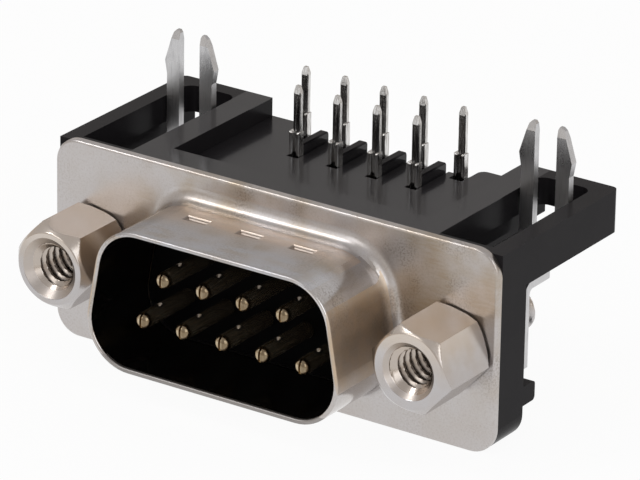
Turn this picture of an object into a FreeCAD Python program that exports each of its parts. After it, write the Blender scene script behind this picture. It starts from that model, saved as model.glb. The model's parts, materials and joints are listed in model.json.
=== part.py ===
import FreeCAD, Part
import math
import os

# Nine-way right-angle board plug: a drawn steel shell in front of a moulded bracket.
# X runs along the flange, Y from the mating side back, Z up to the circuit board.
# The origin is the centre of the D on the flange's front plane. All sizes are millimetres.

# Standard contact field
PITCH = 2.77
ROW_SPACING = 2.84
UPPER_ROW_X = [(i - 1.5) * PITCH for i in range(4)]
LOWER_ROW_X = [(i - 2) * PITCH for i in range(5)]

# Drawn shell
FLANGE_WIDTH = 30.81
FLANGE_HEIGHT = 12.55
FLANGE_CORNER = 1.6
FLANGE_EDGE_ROUND = 0.2
SHEET = 0.45
SKIRT_WALL = 0.3
SKIRT_LENGTH = 6.04
SKIRT_ROOT_ROUND = 0.9
RIM_ROUND = 0.14
INSULATOR_ROUND = 0.12
D_WIDTH = 16.84
D_HEIGHT = 8.28
D_CORNER = 2.6
D_SIDE_ANGLE = 10.0
DIMPLE_SIZE = (1.5, 0.55)
DIMPLE_DEPTH = 0.2
DIMPLE_BEVEL = 0.07
DIMPLE_Y = -2.25
DIMPLE_SPACING = 3.67
DIMPLE_BUMP_GROW = 0.1

# Fixing screws, nuts and their holes
SCREW_X = 24.99 / 2
SCREW_HOLE_R = 1.525
HEX_ACROSS_FLATS = 4.76
HEX_LENGTH = 4.6
HEX_FACE_R = 2.3
HEX_CHAMFER = 0.27
HEX_BACK_R = 2.45
HEX_BACK_CHAMFER = 0.2
HEX_NECK = 0.15
HEX_NECK_R = 2.2
HEX_TURN = {"left": 50.4, "right": 48.4}
THREAD_MINOR_R = 1.1
THREAD_MOUTH_R = {"left": 1.9, "right": 1.74}
THREAD_DEPTH = 4.4
STUD_R = 1.40
STUD_END = 6.95
STUD_CHAMFER = 0.3
NUT_BORE_R = 1.42
NUT_SHANK_R = 1.95
NUT_HEAD_R = 2.2
NUT_HEAD_LENGTH = 0.7
NUT_CHAMFER = 0.15
NUT_HOLE_R = 2.0

# Moulded bracket
PLATE_X = 15.4
PLATE_BACK = 3.08
PLATE_CORNER = 1.6
BOARD_Z = 6.03
ARM_INNER_X = 8.88
ARM_BOTTOM_Z = 3.38
ARM_BACK = 13.0
ARM_CORNER = 0.45
SLOT_X = (10.7, 14.25)
SLOT_Y = (1.2, 11.9)
SLOT_CORNER = 0.7
NOTCH_HALF = 2.05
NOTCH_TOP_Z = 4.35
LEDGE_BACK = 2.8
DECK_Z = 4.88
DECK_BOTTOM_Z = 3.85
TAIL_ZONE_X = 6.02
TAIL_ZONE_BACK = 11.7
TAIL_ZONE_CORNER = 0.5
TUNNEL_X = 7.6
TUNNEL_FLOOR_Z = -3.3
BODY_BOTTOM_Z = -4.4
BODY_BACK_CHAMFER = (4.2, 4.8)
POCKET_X = 9.3
POCKET_Z = 4.75
POCKET_BACK = 2.3
POCKET_CORNER = 1.0
UPPER_TAIL_SLOT = (0.40, 8.15)
LOWER_TAIL_SLOT = (0.45, 10.85)
NUB_X = 13.4
NUB_Y = 4.35
NUB_Z = (-4.15, -2.95)
NUB_ROUND = 0.25

# Insulators
INSULATOR_FACE = -0.35
INSULATOR_GAP = 0.05
REAR_BLOCK_BACK = 5.6
REAR_BLOCK_Z = (-3.25, 3.8)
REAR_BLOCK_X = 7.55
REAR_BLOCK_CHAMFER = 0.4
RIB_SIDES = (-0.12, 0.28)
RIB_FRONT = 8.86
RIB_BACK = 11.6
RIB_TOP_Z = 5.55
RIB_STEP_Z = 1.05
RIB_ROUND = 0.3
RIB_FOOT_CHAMFER = 0.95

# Contacts
PIN_R = 0.5
PIN_TIP = -5.15
PIN_NOSE = 0.42
PIN_SEAM = 0.14
PIN_SEAM_DEPTH = 0.3
PIN_SEAM_END = -3.3
PIN_SEAM_SINK_R = 0.25
PIN_NOSE_SLIT = 0.35
COLLAR_R = 0.72
COLLAR_FRONT = 1.6
PIN_HOLE_GAP = 0.02
UPPER_TAIL_Y = 8.58
LOWER_TAIL_Y = UPPER_TAIL_Y + ROW_SPACING
CHANNEL_WIDTH = 0.74
CHANNEL_DEPTH = 0.5
CHANNEL_WALL = 0.25
CHANNEL_TOP_Z = 6.39
CHANNEL_BEND = 0.55
CHANNEL_EDGE_ROUND = 0.11
TAIL_X = (-0.18, 0.32)
TAIL_FRONT = 0.1
TAIL_TIP_Z = 9.27
TAIL_TAPER = 0.5
TAIL_TIP_HALF = 0.11
TAIL_SEAM = (0.14, 0.12)
TAIL_EDGE_ROUND = 0.09
TAIL_ROOT = 0.4

# Board locks
LOCK_SHEET = 0.5
LOCK_HALF = 2.82
LOCK_BOTTOM_Z = -1.9
LOCK_WIDE_BACK = 6.15
LOCK_WIDE_CORNER = 0.6
LOCK_PRONG_BACK = 9.95
LOCK_NECK_HALF = 1.63
LOCK_GAP_HALF = 0.74
LOCK_NECK_Z = 7.5
LOCK_BARB_HALF = 1.78
LOCK_BARB_Z = 8.35
LOCK_TIP_HALF = 1.2
LOCK_TIP_Z = 10.4
LOCK_TIP_DROP = 0.18
LOCK_TIP_BEVEL = (0.14, 0.6)
LOCK_FORK_START = 8.8
LOCK_BEND = (0.3, 0.8)

BEYOND = 1.0


def box(x, y, z):
    """A block between the given pairs of x, y and z."""
    size = (x[1] - x[0], y[1] - y[0], z[1] - z[0])
    return Part.makeBox(*size, FreeCAD.Vector(x[0], y[0], z[0]))


def rod(x, z, radius, start, end):
    """A round rod along Y."""
    return Part.makeCylinder(radius, end - start, FreeCAD.Vector(x, start, z), FreeCAD.Vector(0, 1, 0))


def turned(x, profile):
    """A solid turned about the Y axis through x, from (radius, y) points."""
    points = [FreeCAD.Vector(r, y, 0) for r, y in profile]
    face = Part.Face(Part.makePolygon(points + [points[0]]))
    solid = face.revolve(FreeCAD.Vector(0, 0, 0), FreeCAD.Vector(0, 1, 0), 360)
    solid.translate(FreeCAD.Vector(x, 0, 0))
    return solid


def plate_xz(points, start, end):
    """A plate whose outline is given by (x, z) points, between two y."""
    corners = [FreeCAD.Vector(x, start, z) for x, z in points]
    return Part.Face(Part.makePolygon(corners + [corners[0]])).extrude(FreeCAD.Vector(0, end - start, 0))


def plate_yz(points, start, end):
    """A plate whose outline is given by (y, z) points, between two x."""
    corners = [FreeCAD.Vector(start, y, z) for y, z in points]
    return Part.Face(Part.makePolygon(corners + [corners[0]])).extrude(FreeCAD.Vector(end - start, 0, 0))


def edges_along(shape, axis, where):
    """Straight edges parallel to an axis (0, 1, 2) whose middle satisfies the test."""
    found = []
    for edge in shape.Edges:
        ends = [vertex.Point for vertex in edge.Vertexes]
        if len(ends) != 2 or edge.Curve.TypeId != "Part::GeomLine":
            continue
        across = [k for k in range(3) if k != axis]
        if all(abs(ends[0][k] - ends[1][k]) < 1e-6 for k in across) and where(edge.CenterOfMass):
            found.append(edge)
    return found


def near(value, target, tolerance=0.01):
    return abs(value - target) < tolerance


def one_solid(shape):
    """The clean single solid of a shape."""
    shape = shape.removeSplitter()
    if len(shape.Solids) != 1:
        raise ValueError("%d solids where one is wanted" % len(shape.Solids))
    return shape.Solids[0]


def d_prism(grow, start, end):
    """A rounded D, wide side down, offset outwards by grow, between two y."""
    lean = math.radians(D_SIDE_ANGLE)
    half = D_HEIGHT / 2
    corner_x = D_WIDTH / 2 - D_CORNER
    reach = corner_x * math.cos(lean) + (D_CORNER - half) * math.sin(lean) + D_CORNER + grow
    top = half + grow
    points = []
    for side, z in ((1, -top), (1, top), (-1, top), (-1, -top)):
        points.append((side * (reach - z * math.sin(lean)) / math.cos(lean), z))
    prism = plate_xz(points, start, end)
    return prism.makeFillet(D_CORNER + grow, edges_along(prism, 1, lambda p: True))


def front_shell():
    flange = box((-FLANGE_WIDTH / 2, FLANGE_WIDTH / 2), (0, SHEET), (-FLANGE_HEIGHT / 2, FLANGE_HEIGHT / 2))
    flange = flange.makeFillet(FLANGE_CORNER, edges_along(flange, 1, lambda p: True))
    rim = [e for e in flange.Edges if near(e.CenterOfMass.y, 0, 1e-4)]
    flange = flange.makeFillet(FLANGE_EDGE_ROUND, rim)
    skirt = d_prism(SKIRT_WALL, -SKIRT_LENGTH, SHEET)
    shell = flange.fuse(skirt).removeSplitter()
    root = []
    for edge in shell.Edges:
        middle = edge.CenterOfMass
        if near(edge.BoundBox.YMin, 0, 1e-3) and near(edge.BoundBox.YMax, 0, 1e-3):
            if abs(middle.x) < D_WIDTH / 2 + BEYOND and abs(middle.z) < D_HEIGHT / 2 + BEYOND:
                root.append(edge)
    shell = shell.makeFillet(SKIRT_ROOT_ROUND, root)
    shell = shell.cut(d_prism(0, -SKIRT_LENGTH - BEYOND, SHEET + BEYOND))
    front = [e for e in shell.Edges if near(e.BoundBox.YMax, -SKIRT_LENGTH, 1e-3)]
    shell = shell.makeFillet(RIM_ROUND, front)
    for side in (-1, 1):
        shell = shell.cut(rod(side * SCREW_X, 0, SCREW_HOLE_R, -BEYOND, SHEET + BEYOND))
    inside = D_HEIGHT / 2
    for x in (-DIMPLE_SPACING, 0, DIMPLE_SPACING):
        shell = shell.fuse(dimple(x, inside, DIMPLE_BUMP_GROW))
        shell = shell.cut(dimple(x, inside + SKIRT_WALL, 0))
    return one_solid(shell)


def dimple(x, surface, grow):
    """The pressed form of one dimple, sunk from a surface height, with bevelled upper and lower edges."""
    half_x, half_y = DIMPLE_SIZE[0] / 2 + grow, DIMPLE_SIZE[1] / 2 + grow
    low = surface - DIMPLE_DEPTH
    above = SKIRT_WALL / 2
    sections = []
    for z, wider in ((low, -DIMPLE_BEVEL), (low + DIMPLE_BEVEL, 0), (surface - DIMPLE_BEVEL, 0),
                     (surface + above, above + DIMPLE_BEVEL)):
        reach_x, reach_y = half_x + wider, half_y + wider
        corners = [FreeCAD.Vector(x + i * reach_x, DIMPLE_Y + j * reach_y, z)
                   for i, j in ((-1, -1), (1, -1), (1, 1), (-1, 1), (-1, -1))]
        sections.append(Part.makePolygon(corners))
    return Part.makeLoft(sections, True, True)


def contact_places():
    """Each contact's name, x, row height and tail y, in the standard's order of numbers."""
    places = [(x, -ROW_SPACING / 2, LOWER_TAIL_Y) for x in LOWER_ROW_X]
    places += [(x, ROW_SPACING / 2, UPPER_TAIL_Y) for x in UPPER_ROW_X]
    return [("contact_%d" % (i + 1),) + place for i, place in enumerate(places)]


def front_insulator():
    body = d_prism(-INSULATOR_GAP, INSULATOR_FACE, SHEET)
    rim = [e for e in body.Edges if near(e.BoundBox.YMax, INSULATOR_FACE, 1e-3)]
    body = body.makeFillet(INSULATOR_ROUND, rim)
    x = POCKET_X - INSULATOR_GAP
    z = POCKET_Z - INSULATOR_GAP
    flange = box((-x, x), (SHEET, POCKET_BACK), (-z, z))
    flange = flange.makeFillet(POCKET_CORNER, edges_along(flange, 1, lambda p: True))
    body = body.fuse(flange)
    for _, x, z, _ in contact_places():
        body = body.cut(rod(x, z, PIN_R + PIN_HOLE_GAP, INSULATOR_FACE - BEYOND, POCKET_BACK + BEYOND))
        body = body.cut(rod(x, z, COLLAR_R + PIN_HOLE_GAP, COLLAR_FRONT, POCKET_BACK + BEYOND))
    return one_solid(body)


def rear_insulator():
    block = box((-REAR_BLOCK_X, REAR_BLOCK_X), (POCKET_BACK, REAR_BLOCK_BACK), REAR_BLOCK_Z)
    back_edges = edges_along(block, 0, lambda p: near(p.y, REAR_BLOCK_BACK))
    block = block.makeChamfer(REAR_BLOCK_CHAMFER, back_edges)
    low = REAR_BLOCK_Z[0]
    for x in UPPER_ROW_X:
        outline = [(REAR_BLOCK_BACK - BEYOND, low), (RIB_BACK - RIB_FOOT_CHAMFER, low),
                   (RIB_BACK, low + RIB_FOOT_CHAMFER), (RIB_BACK, RIB_TOP_Z), (RIB_FRONT, RIB_TOP_Z),
                   (RIB_FRONT, RIB_STEP_Z), (REAR_BLOCK_BACK - BEYOND, RIB_STEP_Z)]
        rib = plate_yz(outline, x + RIB_SIDES[0], x + RIB_SIDES[1])
        rib = rib.makeFillet(RIB_ROUND, edges_along(
            rib, 0, lambda p: near(p.y, RIB_BACK) and near(p.z, RIB_TOP_Z)))
        block = block.fuse(rib)
    half_x = CHANNEL_WIDTH / 2 + PIN_HOLE_GAP
    half_z = CHANNEL_DEPTH / 2 + PIN_HOLE_GAP
    for _, x, z, tail_y in contact_places():
        reach = tail_y + half_z if tail_y == UPPER_TAIL_Y else REAR_BLOCK_BACK + BEYOND
        channel = box((x - half_x, x + half_x), (POCKET_BACK - BEYOND, reach), (z - half_z, z + half_z))
        block = block.cut(channel)
    return one_solid(block)


def contact(x, row_z, tail_y):
    """One rolled pin, with its channel-shaped leg bent up into a board tail."""
    pin = rod(0, 0, PIN_R, PIN_TIP, POCKET_BACK)
    pin = pin.makeFillet(PIN_NOSE, [e for e in pin.Edges if near(e.BoundBox.YMax, PIN_TIP, 1e-4)])
    pin = pin.fuse(rod(0, 0, COLLAR_R, COLLAR_FRONT, POCKET_BACK))
    seam_x = (-PIN_SEAM / 2, PIN_SEAM / 2)
    seam = box(seam_x, (PIN_TIP - BEYOND, PIN_SEAM_END), (PIN_R - PIN_SEAM_DEPTH, PIN_R))
    sink = Part.makeCone(0, PIN_SEAM_SINK_R, PIN_SEAM_SINK_R,
                         FreeCAD.Vector(0, PIN_SEAM_END, PIN_R - PIN_SEAM_SINK_R), FreeCAD.Vector(0, 0, 1))
    nose_slit = box(seam_x, (PIN_TIP - BEYOND, PIN_TIP + PIN_NOSE_SLIT), (-PIN_R, PIN_R))
    pin = pin.cut(seam).cut(sink).cut(nose_slit)
    pin.translate(FreeCAD.Vector(0, 0, row_z))

    deep = CHANNEL_DEPTH / 2
    wide = CHANNEL_WIDTH / 2
    outline = [(POCKET_BACK, row_z - deep), (tail_y + deep, row_z - deep), (tail_y + deep, CHANNEL_TOP_Z),
               (tail_y - deep, CHANNEL_TOP_Z), (tail_y - deep, row_z + deep), (POCKET_BACK, row_z + deep)]
    leg = plate_yz(outline, -wide, wide)
    leg = leg.makeFillet(CHANNEL_BEND, edges_along(
        leg, 0, lambda p: near(p.y, tail_y + deep) and near(p.z, row_z - deep)))
    floor = CHANNEL_WALL - deep
    start, above = POCKET_BACK + BEYOND, CHANNEL_TOP_Z + BEYOND
    groove_front, groove_low = tail_y - deep - BEYOND, row_z + deep + BEYOND
    groove_outline = [(start, row_z + floor), (tail_y - floor, row_z + floor), (tail_y - floor, above),
                      (groove_front, above), (groove_front, groove_low), (start, groove_low)]
    groove_half = wide - CHANNEL_WALL
    groove = plate_yz(groove_outline, -groove_half, groove_half)
    leg = leg.cut(groove)
    crown = [e for e in leg.Edges if near(e.CenterOfMass.z, CHANNEL_TOP_Z, 1e-3)
             and e.CenterOfMass.y < tail_y - floor - 1e-3]
    crown += edges_along(leg, 2, lambda p: near(p.y, tail_y - deep))
    leg = leg.makeFillet(CHANNEL_EDGE_ROUND, crown)

    left, right = TAIL_X
    centre, half = (left + right) / 2, (right - left) / 2
    front, back = tail_y - TAIL_FRONT, tail_y + deep
    middle = (front + back) / 2
    foot, neck = CHANNEL_TOP_Z - TAIL_ROOT, TAIL_TIP_Z - TAIL_TAPER
    face_on = plate_xz([(-half, foot), (half, foot), (half, neck), (TAIL_TIP_HALF, TAIL_TIP_Z),
                        (-TAIL_TIP_HALF, TAIL_TIP_Z), (-half, neck)], front, back)
    side_on = plate_yz([(front, foot), (back, foot), (back, neck), (middle + TAIL_TIP_HALF, TAIL_TIP_Z),
                        (middle - TAIL_TIP_HALF, TAIL_TIP_Z), (front, neck)], -half, half)
    blank = box((-half, half), (front, back), (foot, TAIL_TIP_Z))
    blank = blank.makeFillet(TAIL_EDGE_ROUND, edges_along(blank, 2, lambda p: True))
    tail = blank.common(face_on).common(side_on)
    seam_wide, seam_deep = TAIL_SEAM
    corners = [FreeCAD.Vector(u, v, foot) for u, v in (
        (-seam_wide, front - seam_deep), (seam_wide, front - seam_deep), (0, front + seam_deep))]
    vee = Part.Face(Part.makePolygon(corners + [corners[0]]))
    tail = tail.cut(vee.extrude(FreeCAD.Vector(0, 0, neck - foot)))
    tail.translate(FreeCAD.Vector(centre, 0, 0))
    whole = pin.fuse(leg).fuse(tail)
    whole.translate(FreeCAD.Vector(x, 0, 0))
    return one_solid(whole)


def bracket():
    top = BOARD_Z
    body = box((-PLATE_X, PLATE_X), (SHEET, PLATE_BACK), (-FLANGE_HEIGHT / 2, top))
    body = body.makeFillet(PLATE_CORNER, edges_along(body, 1, lambda p: p.z < 0))
    for side in (-1, 1):
        x = sorted((side * ARM_INNER_X, side * PLATE_X))
        arm = box(x, (SHEET, ARM_BACK), (ARM_BOTTOM_Z, top))
        arm = arm.makeFillet(ARM_CORNER, edges_along(
            arm, 2, lambda p: near(p.y, ARM_BACK) and near(abs(p.x), PLATE_X)))
        body = body.fuse(arm)
        nub_x = sorted((side * NUB_X, side * PLATE_X))
        nub = box(nub_x, (PLATE_BACK - BEYOND, NUB_Y), NUB_Z)
        body = body.fuse(nub.makeFillet(NUB_ROUND, edges_along(nub, 0, lambda p: near(p.y, NUB_Y))))
    body = body.fuse(central_body())
    well = box((-ARM_INNER_X, ARM_INNER_X), (LEDGE_BACK, ARM_BACK + BEYOND), (DECK_Z, top + BEYOND))
    body = body.cut(well)
    for side in (-1, 1):
        body = body.cut(lock_slot(side))
        body = body.cut(rod(side * SCREW_X, 0, NUT_HOLE_R, SHEET - BEYOND, PLATE_BACK + BEYOND))
    pocket = box((-POCKET_X, POCKET_X), (SHEET - BEYOND, POCKET_BACK), (-POCKET_Z, POCKET_Z))
    pocket = pocket.makeFillet(POCKET_CORNER, edges_along(pocket, 1, lambda p: True))
    body = body.cut(pocket)
    body = body.cut(box((-TUNNEL_X, TUNNEL_X), (SHEET, ARM_BACK + BEYOND), (TUNNEL_FLOOR_Z, DECK_BOTTOM_Z)))
    deck_cut = (DECK_BOTTOM_Z - BEYOND, DECK_Z + BEYOND)
    for x in UPPER_ROW_X:
        half, front = UPPER_TAIL_SLOT
        body = body.cut(box((x - half, x + half), (front, ARM_BACK + BEYOND), deck_cut))
    for x in LOWER_ROW_X:
        half, front = LOWER_TAIL_SLOT
        body = body.cut(box((x - half, x + half), (front, ARM_BACK + BEYOND), deck_cut))
    zone = box((-TAIL_ZONE_X, TAIL_ZONE_X), (TAIL_ZONE_BACK, ARM_BACK + BEYOND), deck_cut)
    body = body.cut(zone)
    body = body.makeFillet(TAIL_ZONE_CORNER, edges_along(
        body, 2, lambda p: near(p.y, ARM_BACK) and near(abs(p.x), TAIL_ZONE_X)))
    return one_solid(body)


def central_body():
    """The block between the arms, sloped away below at the back."""
    back_cut, up_cut = BODY_BACK_CHAMFER
    outline = [(SHEET, BODY_BOTTOM_Z), (ARM_BACK - back_cut, BODY_BOTTOM_Z),
               (ARM_BACK, BODY_BOTTOM_Z + up_cut), (ARM_BACK, DECK_Z), (SHEET, DECK_Z)]
    return plate_yz(outline, -ARM_INNER_X, ARM_INNER_X)


def lock_slot(side):
    """The slot through one arm for the board lock, with the notch below its back wall."""
    x = sorted(side * edge for edge in SLOT_X)
    slot = box(x, SLOT_Y, (ARM_BOTTOM_Z, BOARD_Z + BEYOND))
    slot = slot.makeFillet(SLOT_CORNER, edges_along(slot, 2, lambda p: near(p.y, SLOT_Y[1])))
    slot = slot.fuse(box(x, (PLATE_BACK, SLOT_Y[1] - SLOT_CORNER), (ARM_BOTTOM_Z - BEYOND, BOARD_Z)))
    middle = side * SCREW_X
    slot = slot.fuse(box((middle - NOTCH_HALF, middle + NOTCH_HALF), (PLATE_BACK, ARM_BACK + BEYOND),
                         (ARM_BOTTOM_Z - BEYOND, NOTCH_TOP_Z)))
    return slot


def screwlock(side):
    """A hexagonal jack post with a threaded mouth in front and a stud behind."""
    sign = -1 if side == "left" else 1
    radius = HEX_ACROSS_FLATS / math.sqrt(3)
    turns = [math.radians(HEX_TURN[side] + 60 * k) for k in range(6)]
    corners = [(radius * math.cos(turn), radius * math.sin(turn)) for turn in turns]
    hexagon = plate_xz(corners, -HEX_LENGTH, -HEX_NECK)
    chamfered = turned(0, [(0, -HEX_LENGTH), (HEX_FACE_R, -HEX_LENGTH), (radius, HEX_CHAMFER - HEX_LENGTH),
                           (radius, -HEX_NECK - HEX_BACK_CHAMFER), (HEX_BACK_R, -HEX_NECK), (0, -HEX_NECK)])
    post = hexagon.common(chamfered)
    tail = turned(0, [(0, -HEX_NECK), (HEX_NECK_R, -HEX_NECK), (HEX_NECK_R, 0), (STUD_R, 0),
                      (STUD_R, STUD_END - STUD_CHAMFER), (STUD_R - STUD_CHAMFER, STUD_END), (0, STUD_END)])
    face, bottom = -HEX_LENGTH, THREAD_DEPTH - HEX_LENGTH
    mouth_radius = THREAD_MOUTH_R[side]
    mouth = mouth_radius - THREAD_MINOR_R
    drill = turned(0, [(0, face - BEYOND), (mouth_radius, face - BEYOND), (mouth_radius, face),
                       (THREAD_MINOR_R, face + mouth), (THREAD_MINOR_R, bottom),
                       (0, bottom + THREAD_MINOR_R / 2)])
    post = post.fuse(tail).cut(drill)
    post.translate(FreeCAD.Vector(sign * SCREW_X, 0, 0))
    return one_solid(post)


def clinch_nut(side):
    """A flanged nut pressed through the board lock and the bracket."""
    sign = -1 if side == "left" else 1
    seat = PLATE_BACK + LOCK_SHEET
    end = seat + NUT_HEAD_LENGTH
    nut = turned(0, [(NUT_BORE_R, SHEET), (NUT_SHANK_R, SHEET), (NUT_SHANK_R, seat), (NUT_HEAD_R, seat),
                     (NUT_HEAD_R, end - NUT_CHAMFER), (NUT_HEAD_R - NUT_CHAMFER, end), (NUT_BORE_R, end)])
    nut.translate(FreeCAD.Vector(sign * SCREW_X, 0, 0))
    return one_solid(nut)


def board_lock(side):
    """A bent sheet: a plate under the nut, a strap under the arm and a barbed fork."""
    sheet, strap_top = LOCK_SHEET, ARM_BOTTOM_Z
    strap_bottom = strap_top - sheet
    front, back = PLATE_BACK, LOCK_PRONG_BACK
    outline = [(front, LOCK_BOTTOM_Z), (front + sheet, LOCK_BOTTOM_Z), (front + sheet, strap_bottom),
               (back, strap_bottom), (back, LOCK_TIP_Z), (back - sheet, LOCK_TIP_Z),
               (back - sheet, strap_top), (front, strap_top)]
    bent = plate_yz(outline, -LOCK_HALF, LOCK_HALF)
    inner, outer = LOCK_BEND
    for y, z, radius in ((front + sheet, strap_bottom, inner), (front, strap_top, outer),
                         (back, strap_bottom, outer), (back - sheet, strap_top, inner)):
        bent = bent.makeFillet(radius, edges_along(bent, 0, lambda p: near(p.y, y) and near(p.z, z)))
    low = LOCK_BOTTOM_Z - BEYOND
    wide = box((-LOCK_HALF, LOCK_HALF), (front - BEYOND, LOCK_WIDE_BACK), (low, BOARD_Z))
    wide = wide.makeFillet(LOCK_WIDE_CORNER, edges_along(wide, 2, lambda p: near(p.y, LOCK_WIDE_BACK)))
    half = [(LOCK_NECK_HALF, low), (LOCK_NECK_HALF, LOCK_NECK_Z), (LOCK_BARB_HALF, LOCK_BARB_Z),
            (LOCK_TIP_HALF, LOCK_TIP_Z - LOCK_TIP_DROP), (LOCK_TIP_HALF - LOCK_TIP_DROP, LOCK_TIP_Z),
            (LOCK_GAP_HALF + LOCK_TIP_DROP / 2, LOCK_TIP_Z), (LOCK_GAP_HALF, LOCK_TIP_Z - LOCK_TIP_DROP)]
    fork = plate_xz([(-x, z) for x, z in half] + list(reversed(half)), front, back + BEYOND)
    gap = box((-LOCK_GAP_HALF, LOCK_GAP_HALF), (LOCK_FORK_START, back + 2 * BEYOND), (low, LOCK_TIP_Z))
    fork = fork.cut(gap)
    bevel, bevel_length = LOCK_TIP_BEVEL
    shoulder, top = LOCK_TIP_Z - bevel_length, LOCK_TIP_Z
    thinned = plate_yz([(front, low), (back, low), (back, shoulder), (back - bevel, top),
                        (back - sheet + bevel, top), (back - sheet, shoulder), (front, shoulder)],
                       -LOCK_HALF, LOCK_HALF)
    lock = bent.common(wide.fuse(fork)).common(thinned)
    lock = lock.cut(rod(0, 0, NUT_HOLE_R, front - BEYOND, front + sheet + BEYOND))
    sign = -1 if side == "left" else 1
    lock.translate(FreeCAD.Vector(sign * SCREW_X, 0, 0))
    return one_solid(lock)


def save(name, shape):
    if not shape.isValid():
        raise ValueError(name + " is not a valid solid")
    shape.exportStep("parts/%s.step" % name)


os.makedirs("parts", exist_ok=True)
save("front_shell", front_shell())
save("front_insulator", front_insulator())
save("rear_insulator", rear_insulator())
save("bracket", bracket())
for name, place_x, place_z, place_tail in contact_places():
    save(name, contact(place_x, place_z, place_tail))
for which in ("left", "right"):
    save("screwlock_" + which, screwlock(which))
    save("clinch_nut_" + which, clinch_nut(which))
    save("board_lock_" + which, board_lock(which))
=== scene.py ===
import json
import math

import bmesh
import bpy
from mathutils import Matrix, Vector


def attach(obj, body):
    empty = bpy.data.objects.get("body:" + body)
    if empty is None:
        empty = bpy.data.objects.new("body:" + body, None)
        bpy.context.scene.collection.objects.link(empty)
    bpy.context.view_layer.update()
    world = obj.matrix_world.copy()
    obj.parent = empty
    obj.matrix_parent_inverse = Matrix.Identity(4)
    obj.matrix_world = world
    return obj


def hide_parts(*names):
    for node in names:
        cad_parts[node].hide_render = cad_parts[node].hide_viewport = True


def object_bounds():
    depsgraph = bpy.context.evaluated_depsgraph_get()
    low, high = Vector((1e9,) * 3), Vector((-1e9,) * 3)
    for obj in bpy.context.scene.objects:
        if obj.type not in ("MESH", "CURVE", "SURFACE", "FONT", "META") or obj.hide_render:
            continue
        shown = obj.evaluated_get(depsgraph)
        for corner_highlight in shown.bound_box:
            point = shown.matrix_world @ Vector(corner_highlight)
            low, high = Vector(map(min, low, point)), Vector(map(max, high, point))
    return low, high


# The looks of a nine-way right-angle board plug: nickel shell and jack posts, gold pins, tinned
# board tails and black moulded plastic. Lengths are given in millimetres and MM makes them metres.

MM = 0.001

# Jack posts, as the frame has them but for the deeper chamfers in front
SCREW_X = 12.495
FLATS = 4.76
FLATS_TURN = {"left": 50.4, "right": 48.4}
POST_FACE_Y = -4.6
POST_NECK_Y = -0.15
POST_FACE_R = {"left": 2.2, "right": 2.27}
POST_FACE_CHAMFER = {"left": 0.7, "right": 0.42}
POST_FACE_BREAK = 0.05
POST_BACK_R = 2.45
POST_BACK_CHAMFER = 0.2
POST_NECK_R = 2.2
MOUTH_R = {"left": 1.9, "right": 1.74}
BORE_BOTTOM_Y = -0.2
STUD_R = 1.40
STUD_END_Y = 6.95
STUD_CHAMFER = 0.3

# The threads in a post's mouth and on its stud: their sizes, where the stud's begins, the turn at
# which both start, and the share of half a pitch at which a flank begins, with its slope
PITCH = 0.635
THREAD_OUTER_R = 1.45
THREAD_INNER_R = 1.10
STUD_ROOT_R = 1.08
STUD_THREAD_Y = 0.3
THREAD_START = 0.22
FLANK_START = 0.25
FLANK_SLOPE = 1.6

# The posts' mesh: columns round the axis, row steps, the distances at which points merge, and
# the angle in degrees above which an edge stays sharp
POST_SIDES = 96
ROW_STEP = 0.035
MERGE_IN_TREE = 0.002
MERGE_BAKED = 0.001
CREASE = 24

# Where a post's looks change: how wide its bore is taken to be, and a margin
BORE_LOOK_R = 1.88
LOOK_MARGIN = 0.02

# Where the shell's looks change: half widths at mid height of the D's root and of its wall's
# middle, how far both lean for each unit of height, and the limits of its walls and rim
ROOT_X = 8.80
WALL_X = 8.34
LEAN = 0.176
ROOT_TOP_Z = 4.45
INSIDE_TOP_Z = 4.2
TOP_WALL_Z = 4.0
SIDE_X = 7.7
RIM_Y = -5.8
LOWER_RIM_Z = -3.6

# The dimples in the D's top wall
DIMPLE_REACH_X = 4.6
DIMPLE_FRONT_Y = -2.75
DIMPLE_BACK_Y = -1.75
DIMPLE_TOP_Z = 4.425

# Contacts: pitch and rows of the pins, the end of their noses, the limits of the hole that ends
# their seams, and where the gold ends
PIN_PITCH = 2.77
PIN_ROW_Z = 1.42
NOSE_END_Y = -4.75
SINK_FRONT_Y = -3.65
SINK_BACK_Y = -3.0
SINK_LOW = 0.2
SINK_REACH_X = 0.3
GOLD_END_Y = 2.0
GOLD_FADE = 0.3

# Board locks: the heights between which the fork's lower part turns into its upper one
FORK_LOW_Z = 6.8
FORK_HIGH_Z = 8.6

# Moulded bracket: the heights between which the deck lies, how far deck and smooth arms reach
# sideways, the board's face and a gate mark on the deck
DECK_FLOOR_Z = 4.5
DECK_LIMIT_Z = 5.4
DECK_REACH_X = 8.8
ARM_REACH_X = 10.75
BOARD_Z = 6.03
GATE_MARK = (7.48, 10.61)
GATE_MARK_R = 0.17
GATE_MARK_FLOOR_Z = 4.0

# The floor: half its width, its shade, the slightly darker grain on it, and the share of plain
# white in it where the camera or a mirror sees it
FLOOR_REACH = 3000
FLOOR_SHADE = (0.9, 0.9, 0.9)
FLOOR_GRAIN = 0.97
FLOOR_WHITE = 0.94

# The camera, fitted to the photo, with its angles in degrees
AIM = (3.377, 0.0, 4.195)
AZIMUTH = 33.69
ELEVATION = 22.67
ROLL = 0.976
DISTANCE = 313.7
LENS = 309.0
SENSOR = 36.0
CLIP_START = 50
CLIP_END = 20000


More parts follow.
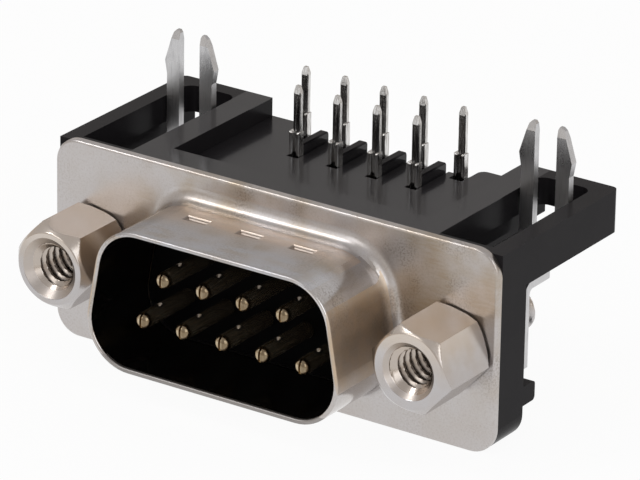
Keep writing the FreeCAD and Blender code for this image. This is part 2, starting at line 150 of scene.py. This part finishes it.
class Field:
    """A node socket that arithmetic can be written on, in a material or a geometry tree."""

    def __init__(self, tree, socket=None):
        self.tree = tree
        self.socket = socket

    def node(self, kind, settings=None, inputs=None, output=0):
        """Adds a node of a type: its settings first, then the values or links of its sockets."""
        made = self.tree.nodes.new(kind)
        for name, value in (settings or {}).items():
            setattr(made, name, value)
        for key, value in (inputs or {}).items():
            if isinstance(value, Field):
                self.tree.links.new(value.socket, made.inputs[key])
            else:
                made.inputs[key].default_value = value
        return Field(self.tree, made.outputs[output] if made.outputs else None)

    def maths(self, operation, *others, first=None):
        """One Math node on this field and others; first takes this field's place if given."""
        values = [self if first is None else first, *others]
        return self.node("ShaderNodeMath", {"operation": operation}, dict(enumerate(values)))

    def __add__(self, other):
        return self.maths("ADD", other)

    def __radd__(self, other):
        return self.maths("ADD", self, first=other)

    def __sub__(self, other):
        return self.maths("SUBTRACT", other)

    def __rsub__(self, other):
        return self.maths("SUBTRACT", self, first=other)

    def __mul__(self, other):
        return self.maths("MULTIPLY", other)

    def __rmul__(self, other):
        return self.maths("MULTIPLY", self, first=other)

    def __truediv__(self, other):
        return self.maths("DIVIDE", other)

    def __lt__(self, other):
        return self.maths("LESS_THAN", other)

    def __gt__(self, other):
        return self.maths("GREATER_THAN", other)

    def __abs__(self):
        return self.maths("ABSOLUTE")

    def least(self, other):
        return self.maths("MINIMUM", other)

    def most(self, other):
        return self.maths("MAXIMUM", other)

    def step(self, low, high):
        """0 below low, 1 above high and smooth between."""
        return self.node("ShaderNodeMapRange", {"interpolation_type": "SMOOTHSTEP"},
                         {"Value": self, "From Min": low, "From Max": high})

    def blend(self, first, second):
        """The first colour where this field is 0 and the second where it is 1."""
        colours = [c if isinstance(c, Field) else (*c, 1) for c in (first, second)]
        return self.node("ShaderNodeMix", {"data_type": "RGBA", "clamp_factor": True},
                         {0: self, 6: colours[0], 7: colours[1]}, output=2)


# Materials

def finish_of(name):
    """An empty material with its shader and the place on the piece in millimetres."""
    material = bpy.data.materials.new(name)
    material.use_nodes = True
    tree = material.node_tree
    shader = tree.nodes["Principled BSDF"]
    start = Field(tree)
    at = start.node("ShaderNodeTexCoord", output=3)
    at = start.node("ShaderNodeVectorMath", {"operation": "SCALE"}, {0: at, "Scale": 1 / MM})
    return material, shader, at


def apart(at):
    """The x, y and z of a place, each as a field."""
    split = at.node("ShaderNodeSeparateXYZ", inputs={0: at}).socket.node
    return [Field(at.tree, split.outputs[k]) for k in range(3)]


def stretched(at, scale):
    """A place with each axis scaled, so that a noise read there is drawn out along the least one."""
    return at.node("ShaderNodeVectorMath", {"operation": "MULTIPLY"}, {0: at, 1: scale})


def noise(at, scale, detail=2.0, roughness=0.5):
    """A noise between 0 and 1, read at a place."""
    return at.node("ShaderNodeTexNoise", inputs={
        "Vector": at, "Scale": scale, "Detail": detail, "Roughness": roughness})


def feed(shader, **inputs):
    """Sets or links the shader's sockets, named with low lines for spaces."""
    tree = shader.id_data
    for key, value in inputs.items():
        socket = shader.inputs[key.replace("_", " ")]
        if isinstance(value, Field):
            tree.links.new(value.socket, socket)
        else:
            socket.default_value = value


def relief(height, depth, strength):
    """A bump from a height field, depth in millimetres."""
    return height.node("ShaderNodeBump", inputs={
        "Strength": strength, "Distance": depth * MM, "Height": height})


def shell_nickel():
    """Satin nickel over drawn sheet: clouded grey and tan, the tan partly tarnish and partly painted
    reflection, with painted reflection on the D's top (bluish in front, tan behind) and sides, a painted
    highlight at its corner, and painted shade in the dimples and on its dull lower rim.
    """
    material, shader, at = finish_of("shell_nickel")
    x, y, z = apart(at)
    clouds = noise(at, 0.30, 2.5, 0.55).step(0.36, 0.66)
    streaks = noise(stretched(at, (0.5, 3.0, 3.0)), 1.6, 4.0, 0.6)
    drawn = noise(stretched(at, (3.0, 0.5, 3.0)), 2.0, 4.0, 0.65)
    grain = noise(at, 7.0, 3.0, 0.7)
    outer = abs(x) < ROOT_X - z * LEAN
    inside = (y < -0.4) * (abs(z) < INSIDE_TOP_Z) * (abs(x) < WALL_X - z * LEAN)
    skirt = (y < -0.05) * (outer.most(abs(z) < ROOT_TOP_Z))
    lower_rim = (y < RIM_Y) * (z < LOWER_RIM_Z)
    top = (y < -0.9) * (z > TOP_WALL_Z)
    side = (y < -0.3) * (abs(x) > SIDE_X) * (1 - inside)
    dimple = (top * (z < DIMPLE_TOP_Z) * (y > DIMPLE_FRONT_Y) * (y < DIMPLE_BACK_Y)
              * (abs(x) < DIMPLE_REACH_X))
    # Tan clouds, partly tarnish and partly painted warm reflection, strongest towards the top and the
    # right; the dark speckle below follows the same reach
    tarnish_and_reflection_reach = z.step(-4.0, 0.5) * x.step(-13.0, -5.0) * 0.8 + 0.2
    colour = (clouds * tarnish_and_reflection_reach).blend((0.53, 0.505, 0.50), (0.42, 0.35, 0.275))
    pale = streaks + skirt * (drawn - streaks)
    colour = (pale.step(0.35, 0.7) * 0.45).blend(colour, (0.53, 0.505, 0.49))
    colour = (grain.step(0.48, 0.7) * 0.3).blend(colour, (0.36, 0.31, 0.27))
    # Painted shade on the lower rim, which is also duller
    colour = (lower_rim * 0.8).blend(colour, (0.30, 0.285, 0.275))
    mottle = noise(stretched(at, (0.5, 1.3, 1.0)), 0.9, 3.0, 0.6).step(0.36, 0.64)
    # Painted reflection on the D's top wall: tan towards the root, bluish grey towards the rim
    colour = (top * y.step(-3.6, -2.0) * (mottle * 0.5 + 0.4)).blend(colour, (0.63, 0.52, 0.43))
    colour = (top * y.step(-3.2, -4.4) * (mottle * 0.5 + 0.35)).blend(colour, (0.50, 0.51, 0.545))
    # Painted highlight at the D's upper right corner near the rim
    corner_highlight = y.step(-3.2, -4.6) * x.step(5.4, 6.8) * z.step(1.2, 2.8)
    colour = (corner_highlight * (streaks * 0.8 + 0.2)).blend(colour, (0.70, 0.69, 0.69))
    patches = noise(at, 0.36, 2.0, 0.5).step(0.48, 0.66)
    speckle = noise(at, 8.5, 1.0, 0.6).step(0.46, 0.62)
    speckled = speckle * (0.08 + patches * tarnish_and_reflection_reach * (1 - top * 0.6) * 0.5)
    colour = speckled.blend(colour, (0.27, 0.23, 0.195))
    # Painted warm reflection on the D's side walls, strongest towards the top
    colour = (side * z.step(-3.6, -0.5) * (mottle * 0.3 + 0.5)).blend(colour, (0.58, 0.45, 0.32))
    # Painted shade in the dimples, which are also rougher
    colour = (dimple * 0.5).blend(colour, (0.30, 0.27, 0.25))
    rough = 0.22 + pale * 0.13 + grain * 0.06 + side * 0.1 + dimple * 0.12
    feed(shader, Base_Color=colour, Metallic=1.0,
         Roughness=rough * (1 - inside * 0.6) + lower_rim * 0.3,
         Normal=relief(pale * 0.5 + grain * 0.5, 0.008, 0.5))
    return material


def post_nickel():
    """Machined nickel: turning lines, with painted light that makes the top warmer, and painted shade
    that makes the underside cooler and the bore browner.
    """
    material, shader, at = finish_of("post_nickel")
    x, y, z = apart(at)
    clouds = noise(at, 0.45, 2.5, 0.55).step(0.36, 0.68)
    lines = noise(stretched(at, (1.0, 0.25, 1.0)), 6.0, 4.0, 0.6)
    grain = noise(at, 16.0, 2.0, 0.6)
    from_axis = abs(x) - SCREW_X
    radius = (from_axis * from_axis + z * z).maths("SQRT")
    bore = (radius < BORE_LOOK_R) * (y > POST_FACE_Y + LOOK_MARGIN) * (y < BORE_BOTTOM_Y)
    mouth = bore * (radius > THREAD_OUTER_R + LOOK_MARGIN)
    colour = clouds.blend((0.55, 0.52, 0.505), (0.51, 0.45, 0.395))
    # Painted light: warmer and paler on the upper flats
    colour = (z.step(0.5, 2.3) * 0.7).blend(colour, (0.63, 0.55, 0.475))
    # Painted shade: cooler and darker underneath
    colour = ((1 - z.step(-0.5, 1.5)) * 0.5).blend(colour, (0.45, 0.44, 0.455))
    # Painted shade in the bore: browner and darker, less so in the mouth
    colour = (bore * 0.75 - mouth * 0.25).blend(colour, (0.50, 0.43, 0.365))
    feed(shader, Base_Color=colour, Metallic=1.0,
         Roughness=0.15 + lines * 0.12 + grain * 0.04 + mouth * 0.14,
         Normal=relief(lines * 0.5 + grain * 0.5, 0.004, 0.5))
    return material


def lock_tin():
    """Tin over stamped sheet, duller and greyer than the shell, with lines along the fork."""
    material, shader, at = finish_of("lock_tin")
    _, _, z = apart(at)
    clouds = noise(at, 0.45, 3.0, 0.6).step(0.4, 0.65)
    lines = noise(stretched(at, (4.0, 4.0, 0.35)), 2.2, 4.0, 0.65)
    grain = noise(at, 12.0, 2.0, 0.6)
    low = 1 - z.step(FORK_LOW_Z, FORK_HIGH_Z)
    colour = clouds.blend((0.56, 0.555, 0.56), (0.46, 0.455, 0.46))
    colour = (low * 0.6).blend(colour, (0.64, 0.635, 0.64))
    colour = (lines.step(0.5, 0.7) * 0.35).blend(colour, (0.25, 0.25, 0.255))
    feed(shader, Base_Color=colour, Metallic=1.0, Roughness=0.19 + lines * 0.16 + low * 0.1,
         Normal=relief(lines * 0.7 + grain * 0.3, 0.012, 0.6))
    return material


def nut_nickel():
    """Nickel over turned brass."""
    material, shader, at = finish_of("nut_nickel")
    lines = noise(stretched(at, (0.6, 6.0, 0.6)), 3.0, 3.0, 0.6)
    grain = noise(at, 15.0, 2.0, 0.6)
    colour = lines.blend((0.52, 0.48, 0.43), (0.46, 0.42, 0.37))
    feed(shader, Base_Color=colour, Metallic=1.0, Roughness=0.2 + lines * 0.12,
         Normal=relief(lines * 0.5 + grain * 0.5, 0.004, 0.5))
    return material


def contact_plating():
    """Pale gold flash on the pin, with painted shade on its nose, darkest on the nose's right half and
    in its seam hole, and bright drawn tin on the leg and tail.
    """
    material, shader, at = finish_of("contact_plating")
    x, y, z = apart(at)
    behind = y.step(GOLD_END_Y - GOLD_FADE, GOLD_END_Y + GOLD_FADE)
    wear = noise(at, 3.0, 4.0, 0.6)
    lines = noise(stretched(at, (6.0, 6.0, 0.45)), 2.0, 4.0, 0.7)
    column = (x / PIN_PITCH + (z > 0) * 0.5).maths("WRAP", 0.5, -0.5) * PIN_PITCH
    above = z - ((z > 0) * 2 - 1) * PIN_ROW_Z
    stripes = noise(stretched(at, (9.0, 1.0, 1.0)), 1.0, 1.0)
    nose = y < NOSE_END_Y + 0.1
    # Painted shade over the right half of each nose, in vertical stripes
    nose_right_shade = column.step(0.0, 0.15) * nose * (stripes * 0.8 + 0.5)
    sink = ((y > SINK_FRONT_Y) * (y < SINK_BACK_Y) * (above > SINK_LOW)
            * (abs(column) < SINK_REACH_X))
    gold = wear.step(0.35, 0.65).blend((0.64, 0.54, 0.39), (0.46, 0.36, 0.24))
    # Painted shade on the noses, darker than the rest of the gold
    gold = (nose * 0.35).blend(gold, (0.36, 0.28, 0.17))
    gold = (nose_right_shade * 0.75).blend(gold, (0.13, 0.09, 0.05))
    # Painted shade in the holes that end the seams: grey and darker than the gold around
    gold = (sink * 0.7).blend(gold, (0.24, 0.23, 0.22))
    shaft = (1 - behind) * (y > NOSE_END_Y)
    tin = lines.step(0.42, 0.6).blend((0.70, 0.69, 0.68), (0.42, 0.40, 0.38))
    drawn = wear + behind * (lines * 3.0 - wear)
    feed(shader, Base_Color=behind.blend(gold, tin), Metallic=1 - shaft * 0.045,
         Roughness=0.12 + wear * 0.08 - behind * 0.03, Normal=relief(drawn, 0.010, 0.7))
    return material


def moulded_skin(at, shader, colour, pale, rough, depth):
    """Black glass-filled plastic with a mottled skin and paler specks."""
    skin = noise(at, 5.0, 5.0, 0.65)
    cloud = noise(at, 0.35, 3.0, 0.6)
    specks = noise(at, 22.0, 1.0, 0.5).step(0.62, 0.75)
    tone = (cloud.step(0.35, 0.7) * 0.6).blend(colour, pale)
    feed(shader, Roughness=rough + (skin - 0.5) * 0.1 + (cloud - 0.5) * 0.06,
         Normal=relief(skin, depth, 0.5))
    return tone, specks


def bracket_black():
    """The bracket's semi-gloss black: smoother on its upper faces, which painted light makes greyer and
    paler towards the right, with a gate mark.
    """
    material, shader, at = finish_of("bracket_black")
    x, y, z = apart(at)
    low = (z < DECK_LIMIT_Z) * (z > DECK_FLOOR_Z) * (abs(x) < DECK_REACH_X)
    upper = (z > BOARD_Z - 0.04) * (abs(x) < ARM_REACH_X)
    smooth = low.most(upper)
    tone, specks = moulded_skin(
        at, shader, (0.0122, 0.011, 0.0122), (0.0155, 0.0142, 0.0155), rough=0.24, depth=0.006)
    # Painted light: the upper faces paler and greyer, more so towards the right
    lit_top_tone = x.step(1.5, 7.5).blend((0.017, 0.0158, 0.0172), (0.0205, 0.019, 0.0207))
    deck = smooth.blend(tone, lit_top_tone)
    mark_x, mark_y = x - GATE_MARK[0], y - GATE_MARK[1]
    mark = (mark_x * mark_x + mark_y * mark_y).maths("SQRT") < GATE_MARK_R
    deck = (mark * (z > GATE_MARK_FLOOR_Z)).blend(deck, (0.002, 0.002, 0.002))
    feed(shader, Base_Color=(specks * 0.25).blend(deck, (0.022, 0.022, 0.022)),
         Specular_IOR_Level=0.05, Coat_Weight=smooth * 0.4, Coat_Roughness=0.12)
    return material


def insulator_black():
    """The insulators' matt black, which shows next to nothing."""
    material, shader, at = finish_of("insulator_black")
    tone, specks = moulded_skin(
        at, shader, (0.0012, 0.0012, 0.0014), (0.002, 0.002, 0.0023), rough=0.5, depth=0.01)
    feed(shader, Base_Color=(specks * 0.3).blend(tone, (0.006, 0.006, 0.006)),
         Specular_IOR_Level=0.02)
    return material


def stage_white():
    """Pale paper: lit by the lamps, and nearly white in camera, mirror and glass rays."""
    material = bpy.data.materials.new("stage_white")
    material.use_nodes = True
    tree = material.node_tree
    tree.nodes.clear()
    start = Field(tree)
    grain = noise(start.node("ShaderNodeTexCoord", output=3), 900.0, 2.0)
    paper = start.node("ShaderNodeBsdfDiffuse", inputs={
        "Color": (grain * 0.5).blend(FLOOR_SHADE, [FLOOR_GRAIN * c for c in FLOOR_SHADE])})
    glow = start.node("ShaderNodeEmission", inputs={"Color": (1, 1, 1, 1), "Strength": 1.0})
    rays = start.node("ShaderNodeLightPath").socket.node
    kinds = ("Is Camera Ray", "Is Glossy Ray", "Is Transmission Ray")
    seen = [Field(tree, rays.outputs[kind]) for kind in kinds]
    direct = (seen[0] + seen[1] + seen[2]).least(1.0)
    lit = start.node("ShaderNodeMixShader", inputs={0: direct * FLOOR_WHITE, 1: paper, 2: glow})
    behind = start.node("ShaderNodeNewGeometry").socket.node.outputs["Backfacing"]
    clear = start.node("ShaderNodeBsdfTransparent")
    whole = start.node("ShaderNodeMixShader", inputs={0: Field(tree, behind), 1: lit, 2: clear})
    start.node("ShaderNodeOutputMaterial", inputs={0: whole})
    return material


# Jack posts

def post_tree(material):
    """Wraps an outline round the Y axis, flattens it to a hexagon and cuts both threads."""
    tree = bpy.data.node_groups.new("jack_post", "GeometryNodeTree")
    tree.interface.new_socket("Outline", in_out="INPUT", socket_type="NodeSocketGeometry")
    for name in ("Flats", "Turn", "Pitch", "Mouth", "Row Step", "Sides"):
        tree.interface.new_socket(name, in_out="INPUT", socket_type="NodeSocketFloat")
    tree.interface.new_socket("Post", in_out="OUTPUT", socket_type="NodeSocketGeometry")
    start = Field(tree)
    given = start.node("NodeGroupInput").socket.node
    outline, flats, turn, pitch, mouth, row_step, sides = (
        Field(tree, given.outputs[k]) for k in range(7))
    rows = start.node("GeometryNodeCurveLength", inputs={0: outline}) / row_step
    sheet = start.node("GeometryNodeMeshGrid", inputs={
        "Size X": 1.0, "Size Y": 1.0, "Vertices X": sides + 1, "Vertices Y": rows})
    across, down, _ = apart(start.node("GeometryNodeInputPosition"))
    angle = (across + 0.5) * math.tau + turn
    point = start.node("GeometryNodeSampleCurve", {"mode": "FACTOR"},
                       {"Curves": outline, "Factor": down + 0.5}, output=1)
    radius, along, _ = apart(point)

    sixth = math.tau / 6
    from_flat = (angle - turn).maths("WRAP", sixth, 0.0) - sixth / 2
    hexagon = (flats / 2) / from_flat.maths("COSINE")
    radius = radius.least(hexagon)

    phase = (along / pitch + angle / math.tau + THREAD_START).maths("FRACT")
    hill = abs(phase - 0.5) * 2
    cut = ((hill - FLANK_START) * FLANK_SLOPE).most(0.0).least(1.0)
    groove_depth = (THREAD_OUTER_R - THREAD_INNER_R) * MM
    hair = 0.01 * MM
    in_mouth = (along < BORE_BOTTOM_Y * MM) * (radius < mouth + hair)
    at_wall = in_mouth * (radius > THREAD_INNER_R * MM - hair)
    threaded = radius.most(THREAD_INNER_R * MM + groove_depth * cut)
    radius = radius + at_wall * (threaded - radius)
    on_stud = along > STUD_THREAD_Y * MM
    crest = STUD_R * MM - (STUD_R - STUD_ROOT_R) * MM * cut
    radius = radius + on_stud * (radius.least(crest) - radius)

    place = start.node("ShaderNodeCombineXYZ", inputs={
        0: radius * angle.maths("COSINE"), 1: along, 2: radius * angle.maths("SINE")})
    bent = start.node("GeometryNodeSetPosition", inputs={"Geometry": sheet, "Position": place})
    closed = start.node("GeometryNodeMergeByDistance", inputs={
        "Geometry": bent, "Distance": MERGE_IN_TREE * MM})
    whole = start.node("GeometryNodeRealizeInstances", inputs={0: closed})
    finished = start.node("GeometryNodeSetMaterial", inputs={
        "Geometry": whole, "Material": material})
    start.node("NodeGroupOutput", inputs={0: finished})
    return tree


def post_outline(side):
    """A line from the stud's end, out over the hexagon and in to the bottom of the bore."""
    corner_highlight = FLATS / math.sqrt(3)
    mouth_r, face_r = MOUTH_R[side], POST_FACE_R[side]
    mouth = mouth_r - THREAD_INNER_R
    points = [
        (0, STUD_END_Y), (STUD_R - STUD_CHAMFER, STUD_END_Y), (STUD_R, STUD_END_Y - STUD_CHAMFER),
        (STUD_R, 0), (POST_NECK_R, 0), (POST_NECK_R, POST_NECK_Y), (POST_BACK_R, POST_NECK_Y),
        (corner_highlight, POST_NECK_Y - POST_BACK_CHAMFER), (corner_highlight, POST_FACE_Y + POST_FACE_CHAMFER[side]),
        (face_r + POST_FACE_BREAK, POST_FACE_Y + POST_FACE_BREAK),
        (face_r - POST_FACE_BREAK / 2, POST_FACE_Y),
        (mouth_r, POST_FACE_Y), (THREAD_INNER_R, POST_FACE_Y + mouth),
        (THREAD_INNER_R, BORE_BOTTOM_Y), (0, BORE_BOTTOM_Y + THREAD_INNER_R / 2)]
    curve = bpy.data.curves.new("post_outline", "CURVE")
    curve.dimensions = "3D"
    line = curve.splines.new("POLY")
    line.points.add(len(points) - 1)
    for point, (radius, along) in zip(line.points, points):
        point.co = (radius * MM, along * MM, 0, 1)
    return curve


def settle(obj, crease):
    """Merges doubles, turns faces outwards and keeps edges sharper than crease degrees."""
    form = bmesh.new()
    form.from_mesh(obj.data)
    bmesh.ops.remove_doubles(form, verts=form.verts, dist=MERGE_BAKED * MM)
    bmesh.ops.recalc_face_normals(form, faces=form.faces)
    form.to_mesh(obj.data)
    form.free()
    for polygon in obj.data.polygons:
        polygon.use_smooth = True
    obj.data.set_sharp_from_angle(angle=math.radians(crease))


def baked(obj, name):
    """The evaluated result of an object's modifiers as a plain mesh object."""
    depsgraph = bpy.context.evaluated_depsgraph_get()
    mesh = bpy.data.meshes.new_from_object(obj.evaluated_get(depsgraph))
    made = bpy.data.objects.new(name, mesh)
    bpy.context.scene.collection.objects.link(made)
    bpy.data.objects.remove(obj)
    return made


def jack_post(side, tree):
    """One side's post, made by the tree and put where the frame's own post is."""
    outline = bpy.data.objects.new("outline_" + side, post_outline(side))
    bpy.context.scene.collection.objects.link(outline)
    wrap = outline.modifiers.new("wrap", "NODES")
    wrap.node_group = tree
    row_step = ROW_STEP
    sizes = {"Flats": FLATS * MM, "Turn": math.radians(FLATS_TURN[side]), "Pitch": PITCH * MM,
             "Mouth": MOUTH_R[side] * MM, "Row Step": row_step * MM, "Sides": float(POST_SIDES)}
    for socket in tree.interface.items_tree:
        if socket.name in sizes:
            wrap[socket.identifier] = sizes[socket.name]
    post = baked(outline, "jack_post_" + side)
    corners = [corner_highlight[0] for corner_highlight in frame["nodes"]["screwlock_" + side].bound_box]
    post.data.transform(Matrix.Translation(((min(corners) + max(corners)) / 2, 0, 0)))
    settle(post, CREASE)
    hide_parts("screwlock_" + side)
    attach(post, "root")


# Stage, camera and lamps

def build_stage(floor_z):
    """A white floor under the part, out to FLOOR_REACH on each side."""
    corners = ((-1, -1), (1, -1), (1, 1), (-1, 1))
    points = [(x * FLOOR_REACH * MM, y * FLOOR_REACH * MM, floor_z) for x, y in corners]
    mesh = bpy.data.meshes.new("floor")
    mesh.from_pydata(points, [], [(0, 1, 2, 3)])
    mesh.materials.append(stage_white())
    paper = bpy.data.objects.new("floor", mesh)
    bpy.context.scene.collection.objects.link(paper)


def build_camera():
    """The camera looks at AIM from its fitted angles and distance, rolled about its own axis."""
    azimuth, elevation, roll = (math.radians(v) for v in (AZIMUTH, ELEVATION, ROLL))
    back = Vector((math.sin(azimuth) * math.cos(elevation),
                   -math.cos(azimuth) * math.cos(elevation), math.sin(elevation)))
    right = (-back).cross(Vector((0, 0, 1))).normalized()
    up = right.cross(-back)
    turned_right = right * math.cos(roll) + up * math.sin(roll)
    turned_up = up * math.cos(roll) - right * math.sin(roll)
    data = bpy.data.cameras.new("camera")
    data.lens = LENS
    data.sensor_width = SENSOR
    data.clip_start = CLIP_START * MM
    data.clip_end = CLIP_END * MM
    camera = bpy.data.objects.new("camera", data)
    bpy.context.scene.collection.objects.link(camera)
    place = (Vector(AIM) + back * DISTANCE) * MM
    camera.matrix_world = Matrix((
        (turned_right.x, turned_up.x, back.x, place.x),
        (turned_right.y, turned_up.y, back.y, place.y),
        (turned_right.z, turned_up.z, back.z, place.z),
        (0, 0, 0, 1)))
    bpy.context.scene.camera = camera


def lamp(name, towards, distance, size, power, colour=(1, 1, 1)):
    """A soft square lamp in a direction from the object, facing it. Distance and size in mm."""
    data = bpy.data.lights.new(name, "AREA")
    data.shape = "SQUARE"
    data.size = size * MM
    data.energy = power
    data.color = colour
    holder = bpy.data.objects.new(name, data)
    bpy.context.scene.collection.objects.link(holder)
    direction = Vector(towards).normalized()
    holder.location = direction * distance * MM
    holder.rotation_mode = "QUATERNION"
    holder.rotation_quaternion = direction.to_track_quat("Z", "Y")


def build_light():
    """An even room, a small key lamp high on the left, a large fill and a panel in front."""
    world = bpy.data.worlds.new("studio")
    bpy.context.scene.world = world
    world.use_nodes = True
    tree = world.node_tree
    tree.nodes.clear()
    start = Field(tree)
    _, _, height = apart(start.node("ShaderNodeTexCoord", output=0))
    room = height.step(-0.05, 0.5).blend((0.66, 0.60, 0.54), (0.60, 0.585, 0.58))
    air = start.node("ShaderNodeBackground", inputs={"Color": room, "Strength": 1.0})
    start.node("ShaderNodeOutputWorld", inputs={0: air})
    lamp("key", towards=(-0.53, -0.40, 0.75), distance=400, size=72, power=0.18)
    lamp("fill", towards=(0.9, -0.5, 0.5), distance=450, size=300, power=0.4,
         colour=(0.91, 0.95, 1.0))
    lamp("panel", towards=(-0.33, -0.77, 0.56), distance=450, size=170, power=0.14)


def dress_frame():
    """Each CAD node gets the finish of its record slot."""
    finishes = {
        "nickel_shell": shell_nickel(),
        "nickel_post": post_nickel(),
        "lock_steel": lock_tin(),
        "nut_brass": nut_nickel(),
        "contact_alloy": contact_plating(),
        "bracket_plastic": bracket_black(),
        "insulator_plastic": insulator_black(),
    }
    for part in frame["record"]["subparts"]:
        mesh = frame["nodes"][part["node"]].data
        mesh.materials.clear()
        mesh.materials.append(finishes[part["material_slot"]])
    return finishes


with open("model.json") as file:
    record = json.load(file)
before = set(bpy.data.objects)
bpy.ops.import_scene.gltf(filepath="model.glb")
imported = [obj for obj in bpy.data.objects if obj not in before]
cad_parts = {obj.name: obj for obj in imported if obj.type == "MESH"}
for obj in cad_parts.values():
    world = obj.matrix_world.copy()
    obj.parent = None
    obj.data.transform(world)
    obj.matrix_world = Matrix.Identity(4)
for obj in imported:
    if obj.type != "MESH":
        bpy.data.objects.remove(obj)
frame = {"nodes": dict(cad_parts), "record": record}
low_before, high_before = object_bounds()
finishes = dress_frame()
tree = post_tree(finishes["nickel_post"])
for which in ("left", "right"):
    jack_post(which, tree)
build_stage(low_before[2])
build_light()
build_camera()
bpy.context.scene.view_settings.view_transform = "Standard"
